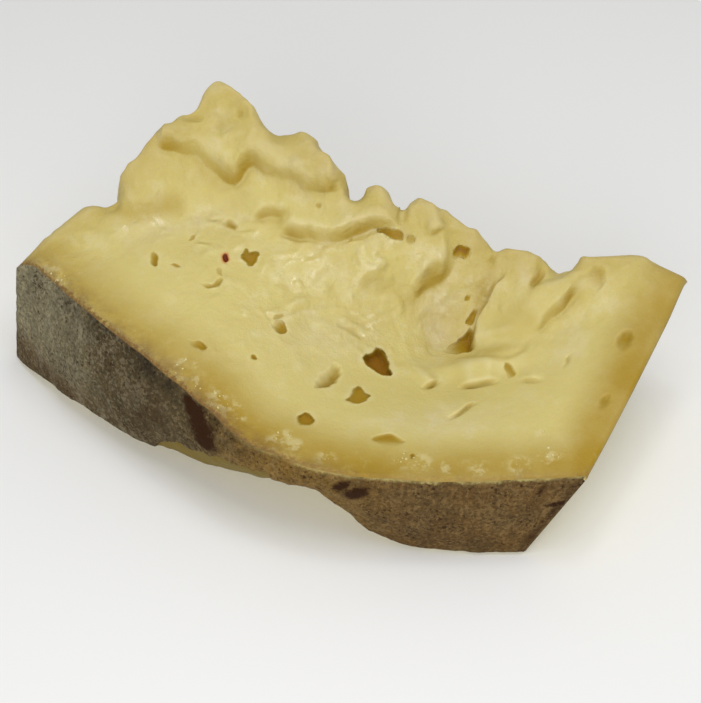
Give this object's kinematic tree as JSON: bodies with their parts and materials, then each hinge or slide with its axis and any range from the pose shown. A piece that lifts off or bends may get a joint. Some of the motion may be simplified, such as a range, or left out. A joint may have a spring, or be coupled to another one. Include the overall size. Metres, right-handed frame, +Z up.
{
  "type": "gruyere cheese chunk",
  "caption": "Torn chunk of gruyere cheese with a curved brown rind, small eyes, a hollowed upper face and a craggy broken back, lying on its flat underside.",
  "frame": {"origin": "middle of the bounding box in plan, on the surface that the chunk lies on", "axes": "+X along the chunk towards its knife cut, +Y from the rind towards the torn back, +Z up"},
  "size_m": [0.305, 0.1774, 0.1179],
  "materials": {
    "cheese": "waxy pale yellow paste with a dry mottled brown rind"
  },
  "bodies": {
    "root": {"gruyere_chunk": "cheese"}
  },
  "joints": []
}
